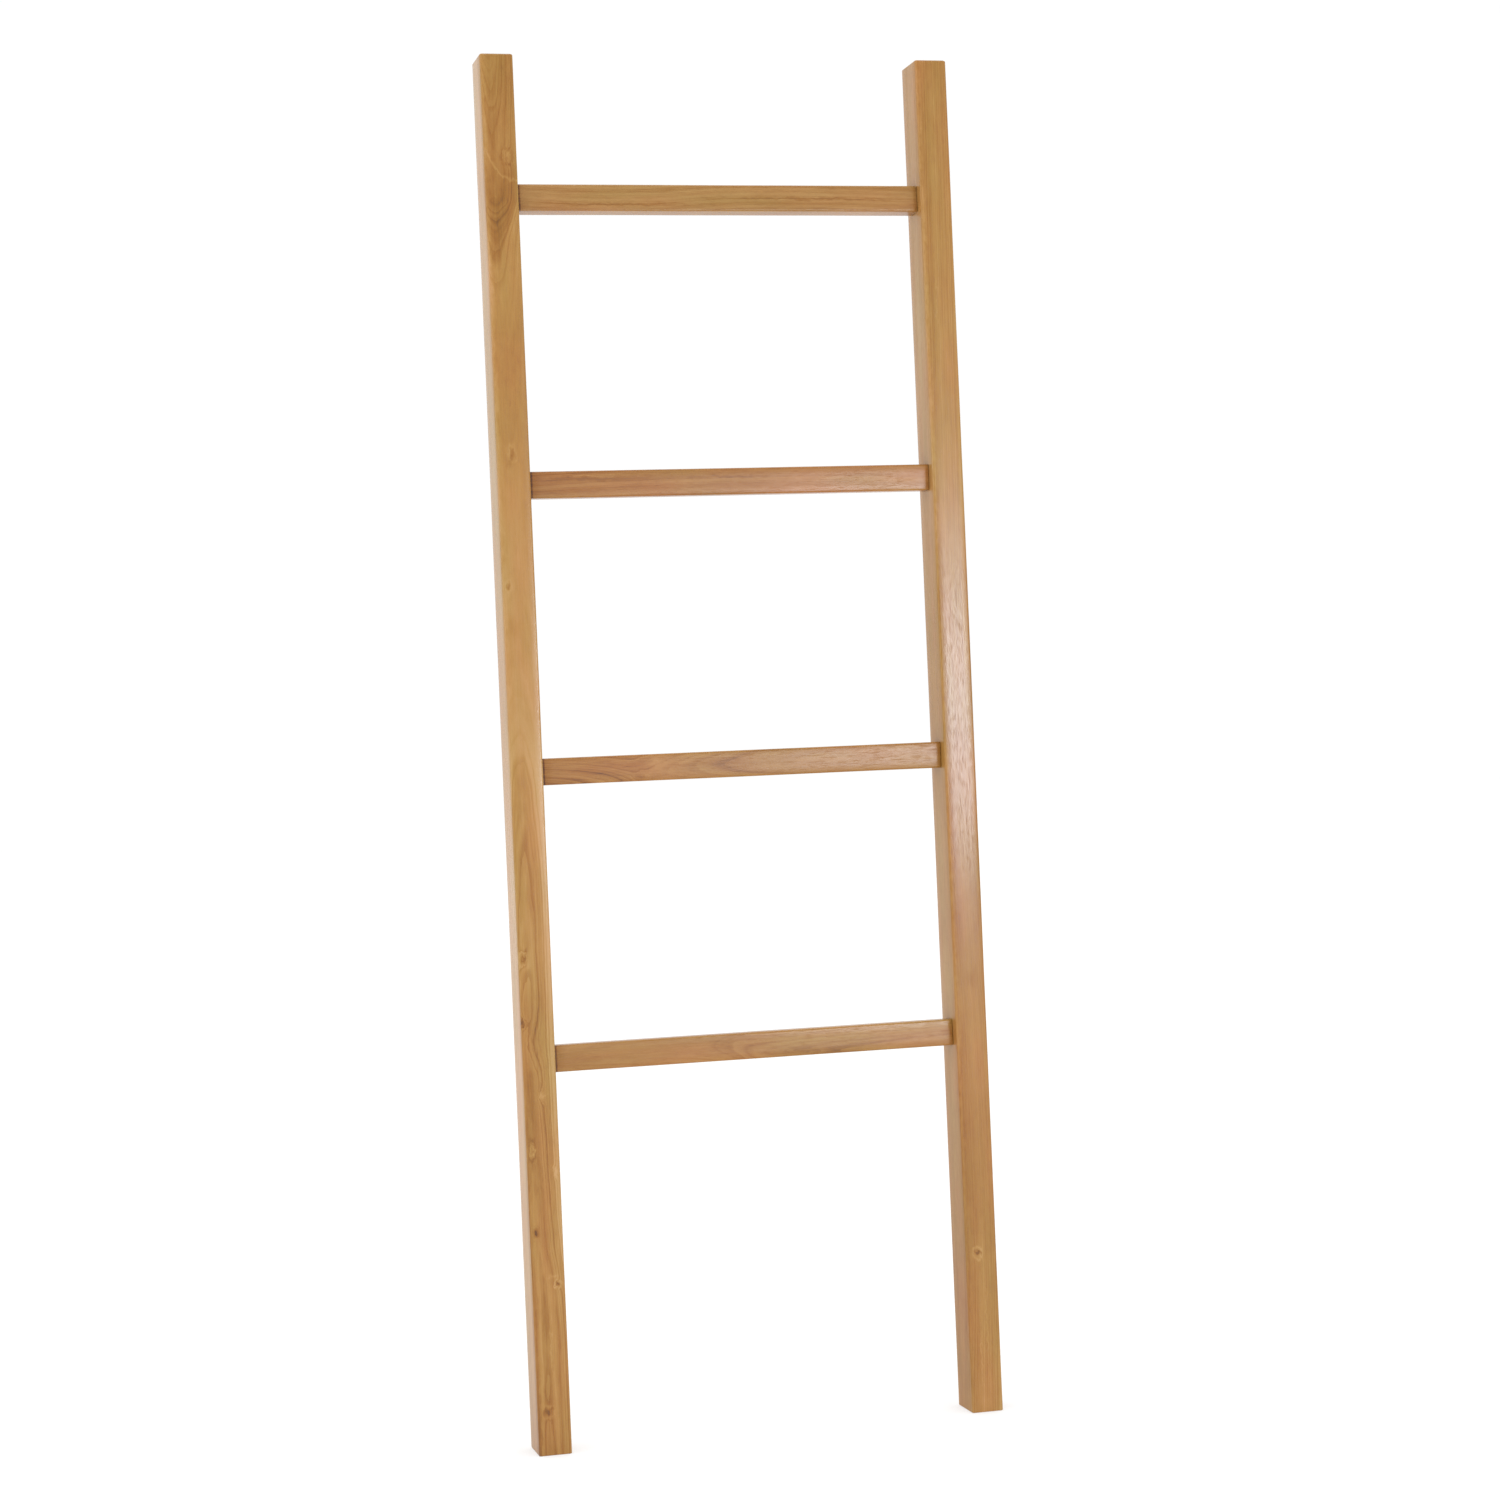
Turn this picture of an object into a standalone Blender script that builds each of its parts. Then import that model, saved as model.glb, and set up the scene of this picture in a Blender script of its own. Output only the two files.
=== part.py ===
"""A leaning quilt ladder in solid hardwood: two square-cut rails, four rungs between them, and the
glue dowels that hold each rung end. Metres, +Z up, upright, front towards -Y. The origin is on the
floor, midway between the rails and midway through their depth.
"""

import math

import bmesh
import bpy
from mathutils import Matrix, Vector

# Overall sizes
LADDER_HEIGHT = 1.500
LADDER_WIDTH = 0.523

# Rails
RAIL_WIDTH = 0.036
RAIL_DEPTH = 0.050
RAIL_EDGE_RADIUS = 0.003
RAIL_TOP_SOFTENING = 0.002
RAIL_FOOT_SOFTENING = 0.001

# Rungs
RUNG_COUNT = 4
RUNG_HEIGHT = 0.029
RUNG_DEPTH = 0.024
RUNG_SETBACK = 0.013
RUNG_EDGE_RADIUS = 0.003
LOWEST_RUNG_HEIGHT = 0.421
TOP_RUNG_DROP = 0.152

# Glue dowels, two to a joint, one above the other
DOWEL_DIAMETER = 0.008
DOWEL_IN_RAIL = 0.020
DOWEL_IN_RUNG = 0.020
DOWEL_SPACING = 0.014
DOWEL_CHAMFER = 0.001
BORE_EXTRA_DEPTH = 0.002

# Clearances
SHOULDER_GAP = 0.0003
GLUE_GAP = 0.0003

EDGE_STEPS = 4
END_STEPS = 2
DOWEL_SIDES = 20

SIDES = {"left": -1, "right": 1}
LEVELS = {"upper": 0.5, "lower": -0.5}
SMOOTH_ANGLE = math.radians(40)


def make_material(name, colour, roughness):
    material = bpy.data.materials.new(name)
    material.use_nodes = True
    shader = material.node_tree.nodes["Principled BSDF"]
    shader.inputs["Base Color"].default_value = (*colour, 1.0)
    shader.inputs["Roughness"].default_value = roughness
    shader.inputs["Metallic"].default_value = 0.0
    return material


def add_object(name, mesh, material, location, parent):
    mesh.materials.append(material)
    piece = bpy.data.objects.new(name, mesh)
    bpy.context.scene.collection.objects.link(piece)
    piece.parent = parent
    piece.location = location
    return piece


def edge_runs_along(edge, axis):
    span = edge.verts[1].co - edge.verts[0].co
    return abs(span[axis]) > 0.99 * span.length


def edges_at(bm, axis, place):
    """The edges that lie in the flat end at this place along an axis."""
    return [
        e
        for e in bm.edges
        if all(math.isclose(v.co[axis], place, abs_tol=1e-6) for v in e.verts)
    ]


def finished_mesh(name, bm):
    mesh = bpy.data.meshes.new(name)
    bm.to_mesh(mesh)
    bm.free()
    mesh.shade_smooth()
    mesh.set_sharp_from_angle(angle=SMOOTH_ANGLE)
    return mesh


def rounded_bar(name, size, edge_radius, long_axis, end_softening=()):
    """A bar centred on its own origin, with its long edges rounded. end_softening gives how far
    the low and the high end's rims are eased, and an empty one leaves both sharp."""
    bm = bmesh.new()
    bmesh.ops.create_cube(bm, size=1.0, matrix=Matrix.Diagonal((*size, 1.0)))
    radius = min(edge_radius, 0.45 * min(size))
    along = [e for e in bm.edges if edge_runs_along(e, long_axis)]
    bmesh.ops.bevel(
        bm, geom=along, offset=radius, segments=EDGE_STEPS, profile=0.5, affect="EDGES"
    )
    for end, softening in zip((-0.5, 0.5), end_softening):
        rims = edges_at(bm, long_axis, end * size[long_axis])
        bmesh.ops.bevel(
            bm, geom=rims, offset=softening, segments=END_STEPS, profile=0.5, affect="EDGES"
        )
    return finished_mesh(name, bm)


def add_rod(bm, radius, length, centre):
    """A sharp-ended round rod lying along X."""
    lying = Matrix.Translation(centre) @ Matrix.Rotation(math.pi / 2, 4, "Y")
    bmesh.ops.create_cone(
        bm,
        cap_ends=True,
        segments=DOWEL_SIDES,
        radius1=radius,
        radius2=radius,
        depth=length,
        matrix=lying,
    )


def dowel_mesh(name, length):
    bm = bmesh.new()
    add_rod(bm, DOWEL_DIAMETER / 2, length, Vector())
    rims = edges_at(bm, 0, -length / 2) + edges_at(bm, 0, length / 2)
    bmesh.ops.bevel(bm, geom=rims, offset=DOWEL_CHAMFER, segments=1, affect="EDGES")
    return finished_mesh(name, bm)


def bore(piece, length, places):
    """Cuts all of a piece's dowel bores at once."""
    bm = bmesh.new()
    for place in places:
        add_rod(bm, DOWEL_DIAMETER / 2 + GLUE_GAP, length, place)
    cutter = bpy.data.objects.new(piece.name + "_bores", finished_mesh(piece.name + "_bores", bm))
    bpy.context.scene.collection.objects.link(cutter)
    cutter.parent = piece.parent
    cutter.hide_render = True
    cutter.display_type = "WIRE"
    cut = piece.modifiers.new("dowel_bores", "BOOLEAN")
    cut.operation = "DIFFERENCE"
    cut.solver = "EXACT"
    cut.object = cutter


def rail_name(side_name):
    return "rail_" + side_name


def rung_name(index):
    return f"rung_{index + 1}"


def rail_centre(side):
    return side * (LADDER_WIDTH - RAIL_WIDTH) / 2


def rung_centre_height(index):
    """The rungs are evenly spaced between the lowest, set from the floor, and the top one, set
    from the top of the rails."""
    span = LADDER_HEIGHT - TOP_RUNG_DROP - LOWEST_RUNG_HEIGHT
    return LOWEST_RUNG_HEIGHT + index * span / (RUNG_COUNT - 1)


def rung_centre_depth():
    return -RAIL_DEPTH / 2 + RUNG_SETBACK + RUNG_DEPTH / 2


def clear_width():
    return LADDER_WIDTH - 2 * RAIL_WIDTH


def rung_length():
    return clear_width() - 2 * SHOULDER_GAP


def dowel_places():
    """Where each dowel's centre lies, as (rung index, side, 'upper' or 'lower', location)."""
    shift = (DOWEL_IN_RAIL - DOWEL_IN_RUNG) / 2
    places = []
    for index in range(RUNG_COUNT):
        for side_name, side in SIDES.items():
            for level_name, level in LEVELS.items():
                across = side * (clear_width() / 2 + shift)
                height = rung_centre_height(index) + level * DOWEL_SPACING
                place = Vector((across, rung_centre_depth(), height))
                places.append((index, side_name, level_name, place))
    return places


def build_rails(parent, material):
    rails = []
    size = (RAIL_WIDTH, RAIL_DEPTH, LADDER_HEIGHT)
    softening = (RAIL_FOOT_SOFTENING, RAIL_TOP_SOFTENING)
    for side_name, side in SIDES.items():
        name = rail_name(side_name)
        mesh = rounded_bar(name, size, RAIL_EDGE_RADIUS, 2, softening)
        location = (rail_centre(side), 0.0, LADDER_HEIGHT / 2)
        rails.append(add_object(name, mesh, material, location, parent))
    return rails


def build_rungs(parent, material):
    rungs = []
    size = (rung_length(), RUNG_DEPTH, RUNG_HEIGHT)
    for index in range(RUNG_COUNT):
        name = rung_name(index)
        mesh = rounded_bar(name, size, RUNG_EDGE_RADIUS, 0)
        location = (0.0, rung_centre_depth(), rung_centre_height(index))
        rungs.append(add_object(name, mesh, material, location, parent))
    return rungs


def build_dowels(parent, material):
    """Makes the dowels, and returns where they sit in each rail and rung, by its name."""
    length = DOWEL_IN_RAIL + DOWEL_IN_RUNG
    seats = {}
    for index, side_name, level_name, place in dowel_places():
        name = f"dowel_{index + 1}_{side_name}_{level_name}"
        add_object(name, dowel_mesh(name, length), material, place, parent)
        seats.setdefault(rail_name(side_name), []).append(place)
        seats.setdefault(rung_name(index), []).append(place)
    return seats


def build_ladder():
    for old in list(bpy.data.objects):
        bpy.data.objects.remove(old, do_unlink=True)
    frame = bpy.data.objects.new("ladder_frame", None)
    bpy.context.scene.collection.objects.link(frame)
    rail_wood = make_material("rail_teak", (0.42, 0.24, 0.11), 0.42)
    rung_wood = make_material("rung_teak", (0.40, 0.22, 0.10), 0.42)
    dowel_wood = make_material("dowel_beech", (0.58, 0.42, 0.26), 0.60)
    pieces = build_rails(frame, rail_wood) + build_rungs(frame, rung_wood)
    seats = build_dowels(frame, dowel_wood)
    bore_length = DOWEL_IN_RAIL + DOWEL_IN_RUNG + 2 * BORE_EXTRA_DEPTH
    for piece in pieces:
        bore(piece, bore_length, seats[piece.name])


build_ladder()
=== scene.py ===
import math

import bmesh
import bpy
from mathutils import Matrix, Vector, noise


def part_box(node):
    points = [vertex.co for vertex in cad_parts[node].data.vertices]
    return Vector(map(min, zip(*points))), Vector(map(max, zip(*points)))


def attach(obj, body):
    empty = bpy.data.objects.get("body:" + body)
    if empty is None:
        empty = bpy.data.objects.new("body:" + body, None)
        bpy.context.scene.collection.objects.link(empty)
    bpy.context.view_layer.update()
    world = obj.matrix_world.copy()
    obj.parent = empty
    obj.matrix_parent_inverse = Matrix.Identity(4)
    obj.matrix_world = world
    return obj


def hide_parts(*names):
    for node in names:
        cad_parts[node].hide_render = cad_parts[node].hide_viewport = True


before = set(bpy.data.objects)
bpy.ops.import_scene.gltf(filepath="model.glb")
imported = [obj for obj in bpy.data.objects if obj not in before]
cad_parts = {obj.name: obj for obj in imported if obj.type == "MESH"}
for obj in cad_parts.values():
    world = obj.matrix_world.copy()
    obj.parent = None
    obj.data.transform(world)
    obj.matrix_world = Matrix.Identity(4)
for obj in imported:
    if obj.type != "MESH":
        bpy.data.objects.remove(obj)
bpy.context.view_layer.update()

print("frame loaded:", len(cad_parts), "nodes")

mm = 0.001


def put(tree, kind, inputs=None, **settings):
    # adds a shader node, and links or sets each input
    node = tree.nodes.new("ShaderNode" + kind)
    for key, value in settings.items():
        setattr(node, key, value)
    for key, value in (inputs or {}).items():
        if isinstance(value, bpy.types.NodeSocket):
            tree.links.new(value, node.inputs[key])
        else:
            node.inputs[key].default_value = value
    return node


def calc(tree, how, first, second=0.0, third=0.0, clamp=False):
    node = put(tree, "Math", {0: first, 1: second, 2: third}, operation=how, use_clamp=clamp)
    return node.outputs[0]


def times(tree, first, second):
    return calc(tree, "MULTIPLY", first, second)


def addUp(tree, values):
    total = values[0]
    for value in values[1:]:
        total = calc(tree, "ADD", total, value)
    return total


def signed(tree, value, amount):
    # turns a 0 to 1 pattern into one that goes up and down by amount
    return calc(tree, "MULTIPLY_ADD", value, 2.0 * amount, -amount)


def remap(tree, value, span, results=(0.0, 1.0), soft=False):
    node = put(tree, "MapRange", {
        "Value": value,
        "From Min": span[0],
        "From Max": span[1],
        "To Min": results[0],
        "To Max": results[1],
    }, interpolation_type="SMOOTHSTEP" if soft else "LINEAR")
    return node.outputs[0]


def vectorCalc(tree, how, first, second, third=(0.0, 0.0, 0.0)):
    node = put(tree, "VectorMath", {0: first, 1: second, 2: third}, operation=how)
    return node.outputs["Value" if how == "DOT_PRODUCT" else "Vector"]


def curveAlong(tree, place, length, points):
    # a value that changes smoothly along a board: points are (place, value)
    values = [value for _, value in points]
    least = min(values)
    spread = max(max(values) - least, 0.001)  # never 0, for a value that stays the same
    share = calc(tree, "DIVIDE", place, length)
    node = put(tree, "FloatCurve", {"Factor": 1.0, "Value": share})
    curve = node.mapping.curves[0]
    spots = [(where / length, (value - least) / spread) for where, value in points]
    curve.points[0].location = spots[0]
    curve.points[1].location = spots[-1]
    for spot in spots[1:-1]:
        curve.points.new(*spot)
    for point in curve.points:
        point.handle_type = "AUTO_CLAMPED"
    node.mapping.update()
    return calc(tree, "MULTIPLY_ADD", node.outputs[0], spread, least)


def colourStops(tree, value, stops):
    node = put(tree, "ValToRGB", {"Fac": value})
    marks = node.color_ramp.elements
    while len(marks) < len(stops):
        marks.new(0.5)
    for mark, (where, colour) in zip(marks, stops):
        mark.position = where
        mark.color = (*colour, 1.0)
    return node.outputs[0]


teak = {
    "tones": (  # from the palest wood to the darkest
        (0.00, (0.560, 0.330, 0.150)),
        (0.35, (0.425, 0.219, 0.059)),
        (0.65, (0.305, 0.124, 0.020)),
        (1.00, (0.100, 0.034, 0.010)),
    ),
    "red": (1.04, 0.95, 0.93),
    "olive": (0.95, 1.03, 0.92),
    "hueContrast": 2.2,
    "hueStart": -0.6,
    "ringGap": 2.1,  # mm from one growth ring to the next
    "bandScale": 0.45,
    "bandDetail": 3.0,
    "bandRoughness": 0.6,
    "bandShift": 3,  # times the board's seed
    "lineFade": (0.05, 0.6),  # where in a ring its dark line starts and stops fading
    "lineLuck": 1.4,  # higher leaves fewer rings with a strong line
    "bandTone": 0.30,
    "lineTone": 0.20,
    "blotchTone": 0.12,
    "fibreTone": 0.10,
    "streakTone": 0.12,
    "fleckTone": 0.12,
    "poreTone": 0.10,
    "endTone": 0.22,
    "fleckSpan": (0.50, 0.70),
    "poreSpan": (0.62, 0.72),
    "endFacing": (0.7, 0.95),
    "leftFacing": (-0.3, -0.8),
    "frontFacing": (0.1, 0.6),
    "sideSmoothness": 0.2,  # the share of relief that the close-grained faces keep
    # the painted shade at each rung's shoulder fades out between these distances
    "shoulderShadeReach": (2.9, 4.3),  # mm from the left end
    "dullReach": 1100.0,  # mm above the foot
    "roughnessSpread": 0.05,
    "fleckRoughness": 0.125,
    "poreRoughness": 0.10,
    "endRoughness": 0.15,
    "fibreRelief": 0.3,
    "sheenRelief": 0.5,
    "poreRelief": -0.4,
    "bumpDistance": 0.013 * mm,
    "lacquerIor": 1.46,
}

# each pattern's patch size in mm (across, deep, along), its detail, and how far its noise is
# shifted, so that no two patterns repeat each other
patterns = {
    "wander": {"size": (70, 70, 240), "detail": 2.0, "shift": 0},
    "ripple": {"size": (9, 9, 45), "detail": 2.0, "shift": 4},
    "shake": {"size": (5, 5, 9), "detail": 3.0, "shift": 5.5},
    "fibres": {"size": (1.3, 1.3, 38), "detail": 3.0, "shift": 9, "roughness": 0.65},
    "flecks": {"size": (0.8, 0.8, 12), "detail": 2.0, "shift": 12},
    "pores": {"size": (0.28, 0.28, 5.0), "detail": 1.0, "shift": 15},
    "blotches": {"size": (16, 30, 70), "detail": 3.0, "shift": 21, "roughness": 0.6},
    "hues": {"size": (22, 30, 120), "detail": 2.0, "shift": 30},
    "sheen": {"size": (1.7, 1.7, 18), "detail": 3.0, "shift": 40, "roughness": 0.6},
    "streaks": {"size": (1.8, 1.8, 46), "detail": 2.0, "shift": 52, "roughness": 0.6},
}
shiftWay = (1.0, 0.7, 1.3)
shakeReach = Vector((9.0, 9.0, 13.0))  # mm, how far marks are pushed out of shape
lowerRim = (-0.15, -0.45)  # where the rim of a mark appears, in shares of its height


def pattern(tree, place, name, seed=0.0):
    kind = patterns[name]
    shift = seed + kind["shift"]
    scaled = vectorCalc(tree, "MULTIPLY", place, [1 / size for size in kind["size"]])
    moved = vectorCalc(tree, "ADD", scaled, [shift * way for way in shiftWay])
    return put(tree, "TexNoise", {
        "Vector": moved,
        "Scale": 1.0,
        "Detail": kind["detail"],
        "Roughness": kind.get("roughness", 0.5),
    }).outputs


def bellShape(tree, squared):
    # 1 in the middle, and falling smoothly to 0
    return calc(tree, "EXPONENT", times(tree, squared, -1.0))


def markAndPaintedLightFields(tree, place, marks):
    # marks push the rings aside, darken the wood or make it paler, and may have a rim; some are
    # painted light and shade on a side face
    pushes = []
    tones = []
    shake = pattern(tree, place, "shake")["Color"]
    shaken = vectorCalc(tree, "MULTIPLY_ADD", shake, shakeReach, shakeReach / -2)
    uneven = vectorCalc(tree, "ADD", place, shaken)
    for mark in marks:
        away = vectorCalc(tree, "SUBTRACT", uneven, mark["at"])
        scaled = vectorCalc(tree, "MULTIPLY", away, [1 / size for size in mark["size"]])
        squared = vectorCalc(tree, "DOT_PRODUCT", scaled, scaled)
        near = bellShape(tree, squared)
        if "push" in mark:
            pushes.append(times(tree, near, mark["push"]))
        if "tone" in mark:
            core = calc(tree, "POWER", near, mark.get("tight", 1.0))
            tones.append(times(tree, core, mark["tone"]))
        if "rim" in mark:
            fromRim = calc(tree, "SUBTRACT", calc(tree, "SQRT", squared), 1.0)
            narrowed = calc(tree, "DIVIDE", fromRim, mark["rimWidth"])
            rim = bellShape(tree, calc(tree, "POWER", narrowed, 2.0))
            if mark.get("lowerRimOnly"):
                height = put(tree, "SeparateXYZ", {0: scaled}).outputs[2]
                rim = times(tree, rim, remap(tree, height, lowerRim))
            tones.append(times(tree, rim, mark["rim"]))
    return pushes, tones


def placeOn(tree, board, low, high):
    # where a point is on its board, in mm: across and deep from the middle, along from the low
    # end, and which way its face looks
    longAxis, acrossAxis, deepAxis = board["axes"]
    start = (low + high) / 2
    start[longAxis] = low[longAxis]
    coordinates = put(tree, "TexCoord").outputs
    fromStart = vectorCalc(tree, "SUBTRACT", coordinates["Object"], start)
    inMm = put(tree, "VectorMath", {0: fromStart, "Scale": 1 / mm}, operation="SCALE").outputs[0]
    parts = put(tree, "SeparateXYZ", {0: inMm}).outputs
    facing = put(tree, "SeparateXYZ", {0: coordinates["Normal"]}).outputs
    across = parts[acrossAxis]
    deep = parts[deepAxis]
    along = parts[longAxis]
    return {
        "across": across,
        "deep": deep,
        "along": along,
        "place": put(tree, "CombineXYZ", {0: across, 1: deep, 2: along}).outputs[0],
        "length": (high[longAxis] - low[longAxis]) / mm,
        "endFacing": calc(tree, "ABSOLUTE", facing[longAxis]),
        "sideFacing": facing[acrossAxis],
        "frontFacing": calc(tree, "ABSOLUTE", facing[deepAxis]),
    }


def heartDistance(tree, board, on):
    # how far a point is from the heart of the tree, which wanders along the board
    drift = put(tree, "SeparateColor", {
        0: pattern(tree, on["place"], "wander", board["seed"])["Color"],
    }).outputs
    offsets = []
    for where, drifted, heart in (
        (on["across"], drift[0], board["heartAcross"]),
        (on["deep"], drift[1], board["heartDeep"]),
    ):
        offsets.append(addUp(tree, [
            where,
            signed(tree, drifted, board["wander"]),
            times(tree, curveAlong(tree, on["along"], on["length"], heart), -1.0),
        ]))
    sideways, inwards = offsets
    squared = calc(tree, "MULTIPLY_ADD", sideways, sideways, calc(tree, "POWER", inwards, 2.0))
    return calc(tree, "SQRT", squared)


def ringTones(tree, board, distance, figure):
    # growth rings: soft bands, and a thin darker line where each ring starts
    ringPlace = calc(tree, "DIVIDE", distance, teak["ringGap"])
    bands = put(tree, "TexNoise", {
        "W": calc(tree, "ADD", ringPlace, board["seed"] * teak["bandShift"]),
        "Scale": teak["bandScale"],
        "Detail": teak["bandDetail"],
        "Roughness": teak["bandRoughness"],
    }, noise_dimensions="1D").outputs["Fac"]
    ringNumber = calc(tree, "FLOOR", ringPlace)
    luck = put(
        tree, "TexWhiteNoise", {"W": calc(tree, "ADD", ringNumber, board["seed"])},
        noise_dimensions="1D",
    ).outputs["Value"]
    fade = remap(tree, calc(tree, "FRACT", ringPlace), teak["lineFade"], (1.0, 0.0), soft=True)
    line = times(tree, fade, calc(tree, "POWER", luck, teak["lineLuck"]))
    return [
        times(tree, signed(tree, bands, teak["bandTone"]), figure),
        times(tree, times(tree, line, figure), teak["lineTone"]),
    ]


def woodToneWithPaintedLight(tree, board, on, grain):
    # how dark the wood is at each point, with painted shade where rungs meet the left rail and
    # painted light and shade on the side faces that look left
    pushes, markAndPaintedLightTones = markAndPaintedLightFields(tree, on["place"], board["marks"])
    distance = addUp(tree, [
        heartDistance(tree, board, on),
        signed(tree, grain["ripple"], board["ripple"]),
    ] + pushes)
    figure = curveAlong(tree, on["along"], on["length"], board["figureAlong"])
    darkStart, darkEnd, darkTone = board["darkHeart"]
    tones = [
        curveAlong(tree, on["along"], on["length"], board["toneAlong"]),
        times(tree, remap(tree, distance, (darkStart, darkEnd), (1.0, 0.0), soft=True), darkTone),
        signed(tree, grain["blotches"], teak["blotchTone"]),
        signed(tree, grain["fibres"], teak["fibreTone"]),
        times(tree, signed(tree, grain["streaks"], teak["streakTone"]), figure),
        times(tree, grain["flecks"], teak["fleckTone"]),
        times(tree, grain["pores"], teak["poreTone"]),
        times(tree, grain["ends"], teak["endTone"]),
    ]
    if "shoulderShade" in board:
        # painted shade: darker wood where a rung meets the left rail, standing in for the shadow in
        # that corner
        tones.append(
            remap(tree, on["along"], teak["shoulderShadeReach"], (board["shoulderShade"], 0.0))
        )
    return addUp(tree, tones + ringTones(tree, board, distance, figure) + markAndPaintedLightTones)


def castOver(hue, cast):
    return (*(shade * share for shade, share in zip(hue, cast)), 1.0)


def woodColour(tree, board, tone, hues):
    contrast = teak["hueContrast"]
    redness = calc(tree, "MULTIPLY_ADD", hues, contrast, teak["hueStart"], clamp=True)
    tint = put(tree, "Mix", {
        "Factor": redness,
        "A": castOver(teak["olive"], board["cast"]),
        "B": castOver(teak["red"], board["cast"]),
    }, data_type="RGBA")
    tinted = put(tree, "Mix", {
        "Factor": 1.0,
        "A": colourStops(tree, tone, teak["tones"]),
        "B": tint.outputs[2],
    }, data_type="RGBA", blend_type="MULTIPLY")
    return tinted.outputs[2]


def woodRoughness(tree, board, on, grain, smoother):
    # satin lacquer: gloss that varies, over fibres and open pores
    spread = teak["roughnessSpread"]
    roughness = [
        calc(tree, "MULTIPLY_ADD", grain["sheen"], 2 * spread, board["roughness"] - spread),
        times(tree, times(tree, grain["flecks"], smoother), teak["fleckRoughness"]),
        times(tree, times(tree, grain["pores"], smoother), teak["poreRoughness"]),
        times(tree, grain["ends"], teak["endRoughness"]),
    ]
    if "dullFoot" in board:
        # the side that faces left loses its polish towards the foot
        dulled = remap(tree, on["along"], (0.0, teak["dullReach"]), (board["dullFoot"], 0.0))
        leftSide = remap(tree, on["sideFacing"], teak["leftFacing"])
        roughness.append(times(tree, leftSide, dulled))
    return addUp(tree, roughness)


def teakMaterial(board, low, high):
    material = bpy.data.materials.new(board["name"] + "Teak")
    material.use_nodes = True
    tree = material.node_tree
    tree.nodes.clear()
    on = placeOn(tree, board, low, high)
    grain = {
        name: pattern(tree, on["place"], name, board["seed"])["Fac"]
        for name in ("ripple", "fibres", "flecks", "pores", "blotches", "hues", "sheen", "streaks")
    }
    grain["flecks"] = remap(tree, grain["flecks"], teak["fleckSpan"])
    grain["pores"] = remap(tree, grain["pores"], teak["poreSpan"])
    # end grain drinks more finish and reads darker
    grain["ends"] = remap(tree, on["endFacing"], teak["endFacing"])
    # the faces cut along the rays are closer grained and sand smoother
    smoother = remap(tree, on["frontFacing"], teak["frontFacing"], (teak["sideSmoothness"], 1.0))
    relief = addUp(tree, [
        times(tree, grain["fibres"], teak["fibreRelief"]),
        times(tree, grain["sheen"], teak["sheenRelief"]),
        times(tree, grain["pores"], teak["poreRelief"]),
    ])
    bump = put(tree, "Bump", {
        "Height": relief, "Distance": teak["bumpDistance"], "Strength": smoother,
    })
    tone = woodToneWithPaintedLight(tree, board, on, grain)
    shader = put(tree, "BsdfPrincipled", {
        "Base Color": woodColour(tree, board, tone, grain["hues"]),
        "Roughness": woodRoughness(tree, board, on, grain, smoother),
        "IOR": teak["lacquerIor"],
        "Normal": bump.outputs[0],
    })
    output = put(tree, "OutputMaterial", {"Surface": shader.outputs[0]})
    output.is_active_output = True
    return material


sanding = {
    "step": 12 * mm,  # between cross-sections
    "cornerSteps": 5,
    "flatSteps": 4,
    "easeSteps": 4,
    "endRing": 0.6 * mm,  # width of the ring of faces inside an end's rim
    "wave": 0.16 * mm,  # how far hand sanding dips below the flat
    "waveLength": 90 * mm,
    "sideShift": 5.3,  # between the noise of one side and the next
    "edgeSpread": 0.3 * mm,  # how much the rounded edges vary
    "edgePace": 1.4,  # how much faster they vary than the sides
    "edgeShift": 31,
    "edgeSideShift": 3.7,
    "noiseSlant": 0.37,
    "smoothAngle": math.radians(38),
}


def softNoise(place, seed):
    # 0 to 1, and smooth
    value = noise.noise(Vector((place, seed, seed * sanding["noiseSlant"])))
    return 0.5 + 0.5 * max(-1.0, min(1.0, value))


def sectionPoints(halfWide, halfDeep, radius, dips, radii):
    # one cross-section, anticlockwise from the right-hand side
    right = halfWide - dips[0]
    top = halfDeep - dips[1]
    left = -halfWide + dips[2]
    bottom = -halfDeep + dips[3]
    corners = (
        (right, top, 0, radii[0]),
        (left, top, 1, radii[1]),
        (left, bottom, 2, radii[2]),
        (right, bottom, 3, radii[3]),
    )
    arcs = []
    for x, y, quarter, spread in corners:
        reach = radius + spread
        centreX = x - math.copysign(reach, x)
        centreY = y - math.copysign(reach, y)
        arc = []
        for step in range(sanding["cornerSteps"] + 1):
            angle = (quarter + step / sanding["cornerSteps"]) * math.pi / 2
            arc.append((centreX + reach * math.cos(angle), centreY + reach * math.sin(angle)))
        arcs.append(arc)
    points = []
    for index, arc in enumerate(arcs):
        points.extend(arc)
        following = arcs[(index + 1) % 4][0]
        for step in range(1, sanding["flatSteps"]):
            share = step / sanding["flatSteps"]
            points.append((
                arc[-1][0] + (following[0] - arc[-1][0]) * share,
                arc[-1][1] + (following[1] - arc[-1][1]) * share,
            ))
    return points


def stations(length, lowEase, highEase):
    # (place, how far the section is drawn in there) along the board
    steps = sanding["easeSteps"]
    rows = []
    for step in range(steps, 0, -1):
        angle = step / steps * math.pi / 2
        rows.append((lowEase * (1 - math.sin(angle)), lowEase * (1 - math.cos(angle))))
    count = round((length - lowEase - highEase) / sanding["step"])
    for step in range(count + 1):
        rows.append((lowEase + (length - lowEase - highEase) * step / count, 0.0))
    for step in range(1, steps + 1):
        angle = step / steps * math.pi / 2
        rows.append((length - highEase * (1 - math.sin(angle)), highEase * (1 - math.cos(angle))))
    return rows


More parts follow.
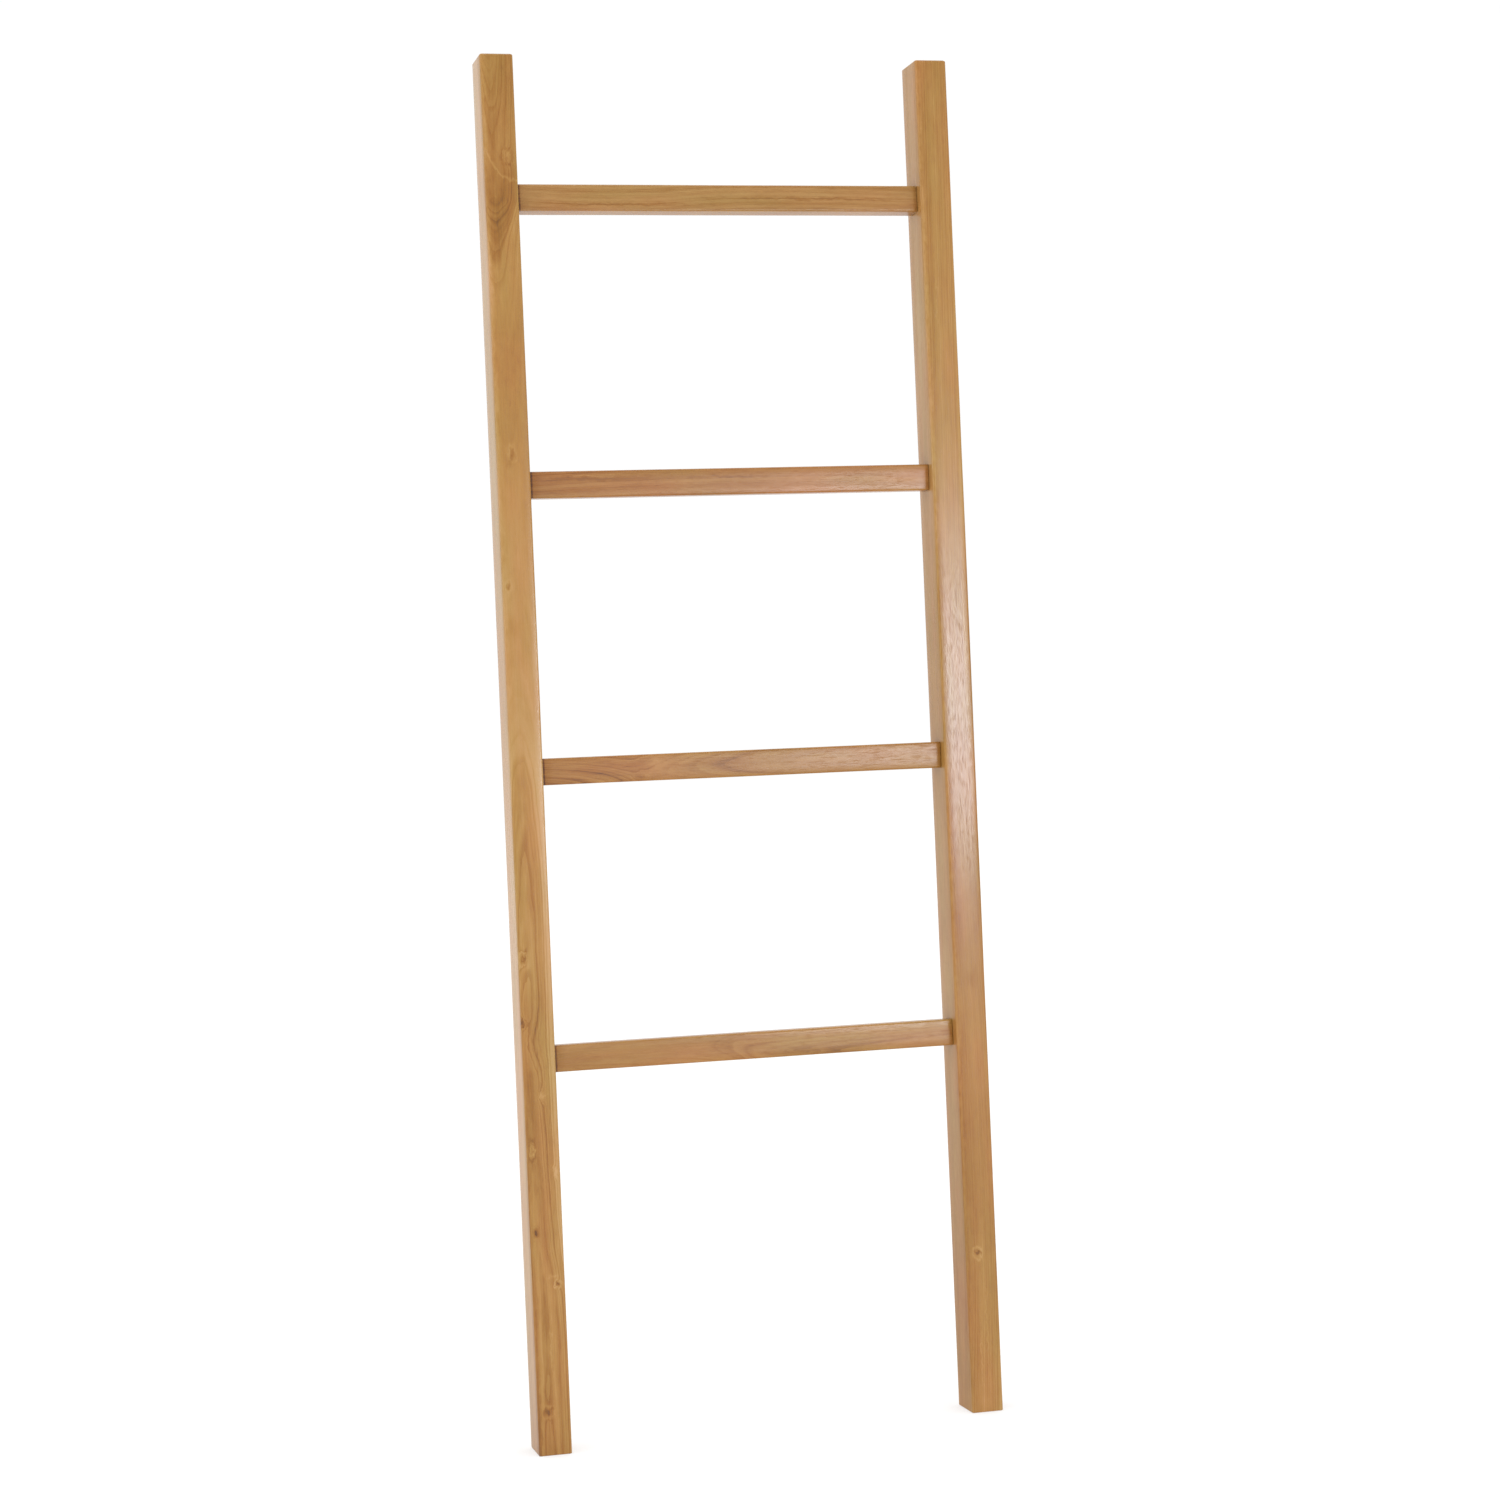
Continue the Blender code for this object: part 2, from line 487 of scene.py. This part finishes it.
def turned(points, degrees):
    # a rung glued in with a slight twist about its own length
    angle = math.radians(degrees)
    return [
        (x * math.cos(angle) - y * math.sin(angle), x * math.sin(angle) + y * math.cos(angle))
        for x, y in points
    ]


def boardMesh(board, low, high):
    longAxis, acrossAxis, deepAxis = board["axes"]
    size = high - low
    centre = (low + high) / 2
    bm = bmesh.new()
    rows = []
    lowEase, highEase = board["endEase"]
    for where, drawnIn in stations(size[longAxis], lowEase, highEase):
        dips = []
        radii = []
        for side in range(4):
            spot = where / sanding["waveLength"]
            sideSeed = board["seed"] + side * sanding["sideShift"]
            dips.append(drawnIn + sanding["wave"] * softNoise(spot, sideSeed))
            edgeSeed = board["seed"] + sanding["edgeShift"] + side * sanding["edgeSideShift"]
            edge = softNoise(spot * sanding["edgePace"], edgeSeed)
            radii.append(sanding["edgeSpread"] * (2 * edge - 1))
        row = []
        points = sectionPoints(
            size[acrossAxis] / 2, size[deepAxis] / 2, board["edgeRadius"], dips, radii
        )
        for across, deep in turned(points, board.get("twist", 0.0)):
            spot = centre.copy()
            spot[longAxis] = low[longAxis] + where
            spot[acrossAxis] += across
            spot[deepAxis] += deep
            row.append(bm.verts.new(spot))
        rows.append(row)
    count = len(rows[0])
    for near, far in zip(rows, rows[1:]):
        for index in range(count):
            following = (index + 1) % count
            bm.faces.new((near[index], near[following], far[following], far[index]))
    for row in (rows[0], rows[-1]):
        addEnd(bm, row)
    bmesh.ops.recalc_face_normals(bm, faces=bm.faces)
    mesh = bpy.data.meshes.new(board["name"])
    bm.to_mesh(mesh)
    bm.free()
    return mesh


def addEnd(bm, row):
    # a flat end: a narrow ring inside the rim, then one face
    centre = sum((v.co for v in row), Vector()) / len(row)
    inner = [bm.verts.new(v.co + (centre - v.co).normalized() * sanding["endRing"]) for v in row]
    for index in range(len(row)):
        following = (index + 1) % len(row)
        bm.faces.new((row[index], row[following], inner[following], inner[index]))
    bm.faces.new(inner)


bore = {
    "clearance": 0.3 * mm,
    "extraDepth": 2 * mm,
    "sides": 32,
}


def cutBores(piece, nodes):
    # blind holes for the glue dowels, a little larger than the dowels
    bm = bmesh.new()
    for node in nodes:
        low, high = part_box(node)
        centre = (low + high) / 2
        radius = (high.z - low.z) / 2 + bore["clearance"]
        lying = Vector((1, 0, 0)).to_track_quat("Z", "Y").to_matrix().to_4x4()
        lying.translation = centre
        bmesh.ops.create_cone(
            bm,
            cap_ends=True,
            segments=bore["sides"],
            radius1=radius,
            radius2=radius,
            depth=high.x - low.x + 2 * bore["extraDepth"],
            matrix=lying,
        )
    mesh = bpy.data.meshes.new("boreCutter")
    bm.to_mesh(mesh)
    bm.free()
    cutter = bpy.data.objects.new("boreCutter", mesh)
    bpy.context.scene.collection.objects.link(cutter)
    cut = piece.modifiers.new("bores", "BOOLEAN")
    cut.operation = "DIFFERENCE"
    cut.solver = "EXACT"
    cut.object = cutter
    finished = bpy.data.meshes.new_from_object(
        piece.evaluated_get(bpy.context.evaluated_depsgraph_get())
    )
    piece.modifiers.clear()
    piece.data = finished
    finished.name = piece.name
    bpy.data.objects.remove(cutter)


def makeBoard(board):
    low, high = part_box(board["node"])
    mesh = boardMesh(board, low, high)
    piece = bpy.data.objects.new(board["name"], mesh)
    bpy.context.scene.collection.objects.link(piece)
    dowels = [node for node in sorted(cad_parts) if node.startswith("dowel_")]
    cutBores(piece, [dowel for dowel in dowels if board["dowels"] in dowel])
    piece.data.materials.clear()
    piece.data.materials.append(teakMaterial(board, low, high))
    piece.data.shade_smooth()
    piece.data.set_sharp_from_angle(angle=sanding["smoothAngle"])
    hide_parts(board["node"])
    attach(piece, "root")


# Places in the grain are in mm, as (across, deep, along). Across and deep are from the middle,
# with the front face at minus half the depth, and along is from the foot or the left end.
# axes: which of X, Y and Z runs along, across and deep
# heartAcross, heartDeep: where the heart of the tree lies, as (along, place)
# wander, ripple: how far the rings stray, slowly and quickly
# darkHeart: the older wood ends between these two distances, and is this much darker
# figureAlong, toneAlong: how strong the figure is and how dark the wood is, as (along, value)
# marks: knots, streaks, pale or dark places, and painted light and shade on the side faces that
# look left; a minus tone is paler

leftRail = {
    "name": "leftRail",
    "node": "rail_left",
    "slot": "rail_wood",
    "dowels": "left",
    "axes": (2, 0, 1),
    "edgeRadius": 2.2 * mm,
    "endEase": (1 * mm, 2 * mm),
    "seed": 2.4,
    "cast": (1.0, 1.0, 1.0),
    "roughness": 0.22,
    "dullFoot": 0.12,
    "wander": 0.5,
    "ripple": 0.9,
    "heartAcross": (
        (0, -5), (120, -4), (223, -10), (326, -12), (450, -11), (540, -8), (640, -6.5), (727, -6.5),
        (950, -3), (1150, -5), (1274, -9), (1340, -7), (1420, -7), (1500, -9),
    ),
    "heartDeep": (
        (0, -41), (223, -43), (400, -46), (530, -48.3), (630, -50), (692, -52), (724, -53.4),
        (748, -54.8), (850, -63), (1000, -68), (1150, -64), (1230, -58), (1274, -55), (1294, -54),
        (1314, -51.5), (1334, -47), (1350, -43.5), (1370, -42.5), (1420, -41.5), (1450, -38.5),
        (1480, -36), (1500, -33),
    ),
    "darkHeart": (28.3, 30.3, 0.25),
    "figureAlong": (
        (0, 1.1), (400, 1.2), (560, 1.0), (700, 0.9), (735, 0.7), (765, 0.3), (1220, 0.25),
        (1290, 0.8), (1500, 0.7),
    ),
    "toneAlong": (
        (0, 0.22), (150, 0.12), (300, 0.20), (450, 0.20), (560, 0.11), (700, 0.12), (785, 0.26),
        (1000, 0.33), (1190, 0.43), (1260, 0.34), (1350, 0.36), (1400, 0.24), (1500, 0.24),
    ),
    "marks": (
        # painted light and shade on the outer side face, which looks left: paler towards the top,
        # darker at the foot, and paler again around 330 mm up
        {"at": (-18, 2, 1350), "size": (4, 60, 500), "tone": -0.30},
        {"at": (-18, 2, 0), "size": (4, 60, 420), "tone": 0.27},
        {"at": (-18, 2, 330), "size": (4, 60, 220), "tone": -0.20},
        {"at": (16, -25, 1410), "size": (32, 25, 46), "tone": -0.06,
         "rim": -0.18, "rimWidth": 0.03, "lowerRimOnly": True},
        {"at": (7, -25, 1389), "size": (6, 25, 8), "push": 5, "tone": -0.10,
         "rim": 0.12, "rimWidth": 0.25},
        {"at": (7, -25, 1388), "size": (2, 8, 2.5), "tone": 0.16},
        {"at": (-1, -25, 1071), "size": (5, 20, 8), "push": 8, "tone": 0.20, "tight": 3.0,
         "rim": -0.12, "rimWidth": 0.3},
        {"at": (-4, -25, 1062), "size": (4, 10, 5), "tone": 0.16},
        {"at": (-11, -25, 930), "size": (3.5, 15, 6), "push": 5, "tone": 0.22, "tight": 3.0,
         "rim": -0.08, "rimWidth": 0.3},
        {"at": (-9, -25, 885), "size": (8, 15, 14), "push": 1, "tone": 0.12, "tight": 1.5},
        {"at": (-13, -25, 531), "size": (4.5, 15, 8), "push": 7, "tone": 0.45, "tight": 3.0,
         "rim": -0.12, "rimWidth": 0.3},
        {"at": (-9, -25, 540), "size": (2, 10, 4), "tone": 0.22},
        {"at": (-16, -25, 463), "size": (3.5, 12, 6), "push": 4, "tone": 0.40, "tight": 2.0},
        {"at": (-3, -25, 440), "size": (10, 12, 24), "push": 3},
        {"at": (1, -25, 384), "size": (4, 12, 7), "push": 4, "tone": -0.22, "tight": 2.0},
        {"at": (-12, -25, 326), "size": (4.5, 15, 9), "push": 6, "tone": -0.10, "tight": 1.5,
         "rim": 0.20, "rimWidth": 0.22},
        {"at": (13, -25, 303), "size": (3.5, 12, 6), "push": 4, "tone": -0.22, "tight": 2.0},
        {"at": (-12, -25, 239), "size": (3.5, 15, 6), "push": 5, "tone": 0.35, "tight": 3.0,
         "rim": -0.14, "rimWidth": 0.3},
        {"at": (-9, -25, 239), "size": (1.5, 9, 6), "tone": 0.18},
        {"at": (11, -25, 182), "size": (4, 15, 4), "push": 5, "tone": 0.50, "tight": 3.0,
         "rim": -0.16, "rimWidth": 0.3},
        {"at": (5, -25, 190), "size": (6, 12, 2), "tone": -0.16},
        {"at": (0, -25, 115), "size": (0.8, 10, 48), "tone": -0.14},
        {"at": (-6, -25, 46), "size": (4.5, 15, 6), "push": 5, "tone": 0.38, "tight": 2.5,
         "rim": 0.10, "rimWidth": 0.3},
        {"at": (-2, -25, 50), "size": (2, 9, 2), "tone": 0.25},
    ),
}

rightRail = {
    "name": "rightRail",
    "node": "rail_right",
    "slot": "rail_wood",
    "dowels": "right",
    "axes": (2, 0, 1),
    "edgeRadius": 2.2 * mm,
    "endEase": (1 * mm, 2 * mm),
    "seed": 7.9,
    "cast": (0.98, 0.98, 1.02),
    "roughness": 0.20,
    "dullFoot": 0.28,
    "wander": 1.2,
    "ripple": 0.5,
    "heartAcross": (
        (0, -52), (300, -50), (700, -56), (1100, -52), (1500, -50),
    ),
    "heartDeep": (
        (0, 5), (400, -8), (900, 4), (1500, -6),
    ),
    "darkHeart": (32, 50, 0.08),
    "figureAlong": ((0, 0.7), (600, 0.4), (1100, 0.6), (1500, 0.6)),
    "toneAlong": (
        (0, 0.33), (100, 0.42), (300, 0.46), (450, 0.42), (560, 0.52), (850, 0.50), (950, 0.44),
        (1100, 0.36), (1350, 0.38), (1500, 0.41),
    ),
    "marks": (
        # painted light and shade on the inner side face, which looks left: paler towards the top,
        # darker at the foot, and paler again around 450 mm up
        {"at": (-18, 2, 1300), "size": (4, 60, 700), "tone": -0.26},
        {"at": (-18, 2, 0), "size": (4, 60, 500), "tone": 0.12},
        {"at": (-18, 2, 450), "size": (4, 60, 400), "tone": -0.19},
        {"at": (-12, -25, 750), "size": (7, 30, 1400), "tone": 0.07},
        {"at": (-4.5, -25, 1245), "size": (0.8, 10, 45), "tone": -0.12},
        {"at": (-4, -25, 176), "size": (5, 15, 6), "push": 6, "rim": -0.18, "rimWidth": 0.3},
        {"at": (-4, -25, 177), "size": (3.4, 8, 1.4), "tone": 0.40},
        {"at": (-4.5, -25, 60), "size": (0.8, 10, 45), "tone": -0.14},
        {"at": (3, -25, 95), "size": (0.8, 10, 42), "tone": -0.14},
        {"at": (2, -25, 480), "size": (12, 20, 14), "push": 1, "tone": 0.12, "tight": 2.0},
    ),
}

rungBasics = {
    "slot": "rung_wood",
    "axes": (0, 2, 1),
    "edgeRadius": 2 * mm,
    "endEase": (0.6 * mm, 0.3 * mm),
    "wander": 0.8,
    "ripple": 0.6,
    "roughness": 0.27,
    # painted shade where each rung meets the left rail
    "shoulderShade": 0.40,
}

lowestRung = dict(rungBasics, **{
    "name": "lowestRung",
    "node": "rung_1",
    "dowels": "dowel_1_",
    "seed": 11.2,
    "cast": (0.975, 0.98, 1.04),
    "twist": 2.2,
    "heartAcross": ((0, 6), (182, 4), (200, 1), (259, -9), (450, -12)),
    "heartDeep": ((0, -46), (150, -43), (182, -41), (200, -39), (259, -34), (450, -28)),
    "figureAlong": ((0, 0.3), (130, 0.4), (170, 1.0), (300, 0.8), (450, 0.5)),
    "darkHeart": (20, 26, 0.08),
    "toneAlong": ((0, 0.46), (150, 0.50), (300, 0.42), (450, 0.37)),
    "marks": (
        {"at": (-5, -12, 30), "size": (4, 10, 30), "tone": 0.10},
        {"at": (-11, -12, 275), "size": (3, 10, 22), "push": 3, "tone": 0.12},
    ),
})

secondRung = dict(rungBasics, **{
    "name": "secondRung",
    "node": "rung_2",
    "dowels": "dowel_2_",
    "seed": 15.6,
    "cast": (0.965, 0.92, 0.94),
    "heartAcross": ((0, -26), (90, -25), (112, -18), (148, -4), (211, 0), (450, 4)),
    "heartDeep": (
        (0, -20), (60, -32), (107, -43), (130, -46), (148, -45), (211, -41), (300, -37), (450, -36),
    ),
    "figureAlong": (
        (0, 0.9), (110, 1.1), (135, 0.4), (160, 0.7), (230, 0.8), (300, 0.4), (450, 0.3),
    ),
    "darkHeart": (20, 33, 0.06),
    "toneAlong": ((0, 0.46), (100, 0.51), (135, 0.45), (300, 0.48), (450, 0.42)),
    "marks": (
        {"at": (-10, -12, 108), "size": (5, 12, 10), "push": 3, "tone": 0.18, "tight": 2.0},
        {"at": (3, -12, 128), "size": (9, 12, 9), "tone": -0.14},
    ),
})

thirdRung = dict(rungBasics, **{
    "name": "thirdRung",
    "node": "rung_3",
    "dowels": "dowel_3_",
    "seed": 19.3,
    "twist": -1.6,
    "cast": (0.98, 0.91, 1.03),
    "heartAcross": ((0, 30), (200, 34), (450, 28)),
    "heartDeep": ((0, -6), (450, 4)),
    "figureAlong": ((0, 0.8), (150, 0.6), (450, 0.5)),
    "darkHeart": (14, 34, 0.06),
    "toneAlong": ((0, 0.53), (150, 0.52), (300, 0.49), (450, 0.43)),
    "marks": (
        {"at": (5, -12, 60), "size": (2, 10, 50), "tone": 0.16},
        {"at": (9, -12, 60), "size": (1.2, 10, 45), "tone": -0.12},
        {"at": (5, -12, 220), "size": (1.2, 10, 40), "tone": 0.14},
    ),
})

topRung = dict(rungBasics, **{
    "name": "topRung",
    "node": "rung_4",
    "dowels": "dowel_4_",
    "seed": 23.7,
    "twist": 2.5,
    "cast": (0.975, 1.04, 1.30),
    "heartAcross": ((0, -36), (120, -40), (260, -34), (450, -38)),
    "heartDeep": ((0, 4), (450, -4)),
    "figureAlong": ((0, 0.6), (450, 0.6)),
    "darkHeart": (20, 40, 0.06),
    "toneAlong": ((0, 0.44), (250, 0.44), (450, 0.42)),
    "marks": (
        {"at": (-7, -12, 100), "size": (1.4, 10, 75), "tone": 0.20},
        {"at": (0, -12, 330), "size": (1.2, 10, 110), "tone": 0.18},
    ),
})

for board in (leftRail, rightRail, lowestRung, secondRung, thirdRung, topRung):
    makeBoard(board)
    print("made", board["name"])


beech = {
    "pale": (0.66, 0.50, 0.33),
    "dark": (0.50, 0.34, 0.20),
    "toneSpan": (0.3, 0.7),
    "fibreSize": (20, 1 / 1.2, 1 / 1.2),  # mm: along, across, up
    "fibreDetail": 4.0,
    "roughness": 0.62,
    "bumpDistance": 0.04 * mm,
}


def beechMaterial():
    material = bpy.data.materials.new("turnedBeech")
    material.use_nodes = True
    tree = material.node_tree
    tree.nodes.clear()
    place = put(tree, "TexCoord").outputs["Object"]
    scaled = vectorCalc(tree, "MULTIPLY", place, [1 / (size * mm) for size in beech["fibreSize"]])
    fibres = put(tree, "TexNoise", {
        "Vector": scaled, "Scale": 1.0, "Detail": beech["fibreDetail"],
    }).outputs["Fac"]
    paleEnd, darkStart = beech["toneSpan"]
    wood = colourStops(tree, fibres, ((paleEnd, beech["pale"]), (darkStart, beech["dark"])))
    bump = put(tree, "Bump", {"Height": fibres, "Distance": beech["bumpDistance"]})
    shader = put(tree, "BsdfPrincipled", {
        "Base Color": wood, "Roughness": beech["roughness"], "Normal": bump.outputs[0],
    })
    put(tree, "OutputMaterial", {"Surface": shader.outputs[0]})
    return material


turnedBeech = beechMaterial()
for name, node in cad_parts.items():
    if name.startswith("dowel_"):
        for slot in node.material_slots:
            slot.material = turnedBeech
print("dowels finished")


studio = {
    "floorSize": 60.0,
    "floorDrop": 0.2 * mm,
    "floorColour": (0.45, 0.45, 0.45),
    "floorRoughness": 0.9,
    "floorGlow": 0.55,  # a lit floor, which hardly shows a shadow
    "white": (1.0, 1.0, 1.0, 1.0),
    "backdrop": 1.02,
    "room": 0.76,
    "backdropWay": 14.4,  # degrees from straight back, towards the right
    "backdropReach": (19.5, 29),  # degrees: all backdrop inside, all room outside
}

lights = (
    {
        "name": "topLight",
        "place": (0, 0, 5),
        "aim": (0, 0, 0),
        "strength": 1.42,
        "spread": math.radians(60),
    },
    {
        "name": "softbox",
        "place": (1.36, -3.25, 0.82),
        "aim": (0.24, 0, 0.8),
        "strength": 27.5,
        "size": (0.72, 0.62),
        "colour": (0.84, 0.90, 1.0),
    },
    {
        "name": "fill",
        "place": (-4.0, -1.2, 1.3),
        "aim": (0, 0, 0.9),
        "strength": 20.0,
        "size": (2.0, 2.0),
    },
)

camera = {
    "place": (-0.8251, -3.2508, 0.7429),
    "turn": (90.0224, 2.4542, -14.4072),
    "lens": 73.399,
    "sensor": 36.0,
}


def makeFloor():
    bm = bmesh.new()
    bmesh.ops.create_grid(bm, x_segments=1, y_segments=1, size=studio["floorSize"] / 2)
    mesh = bpy.data.meshes.new("floor")
    bm.to_mesh(mesh)
    bm.free()
    floor = bpy.data.objects.new("floor", mesh)
    bpy.context.scene.collection.objects.link(floor)
    floor.location.z = -studio["floorDrop"]
    material = bpy.data.materials.new("paleFloor")
    material.use_nodes = True
    shader = material.node_tree.nodes["Principled BSDF"]
    shader.inputs["Base Color"].default_value = (*studio["floorColour"], 1.0)
    shader.inputs["Roughness"].default_value = studio["floorRoughness"]
    shader.inputs["Specular IOR Level"].default_value = 0.0
    shader.inputs["Emission Color"].default_value = studio["white"]
    shader.inputs["Emission Strength"].default_value = studio["floorGlow"]
    mesh.materials.append(material)


def makeLight(light):
    # a light with a size is a panel, and one with a spread shines from far away
    data = bpy.data.lights.new(light["name"], "AREA" if "size" in light else "SUN")
    data.energy = light["strength"]
    data.color = light.get("colour", (1.0, 1.0, 1.0))
    if "size" in light:
        data.shape = "RECTANGLE"
        data.size, data.size_y = light["size"]
    else:
        data.angle = light["spread"]
    lamp = bpy.data.objects.new(light["name"], data)
    bpy.context.scene.collection.objects.link(lamp)
    lamp.location = light["place"]
    way = Vector(light["aim"]) - Vector(light["place"])
    lamp.rotation_euler = way.to_track_quat("-Z", "Y").to_euler()


def makeBackdrop():
    # a bright backdrop behind the ladder, and a dimmer white room all round
    world = bpy.data.worlds.new("studio")
    world.use_nodes = True
    tree = world.node_tree
    background = tree.nodes["Background"]
    background.inputs["Color"].default_value = studio["white"]
    turn = math.radians(studio["backdropWay"])
    way = put(tree, "TexCoord").outputs["Generated"]
    facing = vectorCalc(tree, "DOT_PRODUCT", way, (math.sin(turn), math.cos(turn), 0.0))
    inside, outside = (math.cos(math.radians(angle)) for angle in studio["backdropReach"])
    strength = remap(
        tree, facing, (outside, inside), (studio["room"], studio["backdrop"]), soft=True
    )
    tree.links.new(strength, background.inputs["Strength"])
    bpy.context.scene.world = world


def makeCamera():
    data = bpy.data.cameras.new("camera")
    data.lens = camera["lens"]
    data.sensor_width = camera["sensor"]
    eye = bpy.data.objects.new("camera", data)
    bpy.context.scene.collection.objects.link(eye)
    eye.location = camera["place"]
    eye.rotation_euler = [math.radians(angle) for angle in camera["turn"]]
    bpy.context.scene.camera = eye


makeBackdrop()
for light in lights:
    makeLight(light)
makeFloor()
makeCamera()
bpy.context.scene.view_settings.view_transform = "Standard"
print("studio ready")
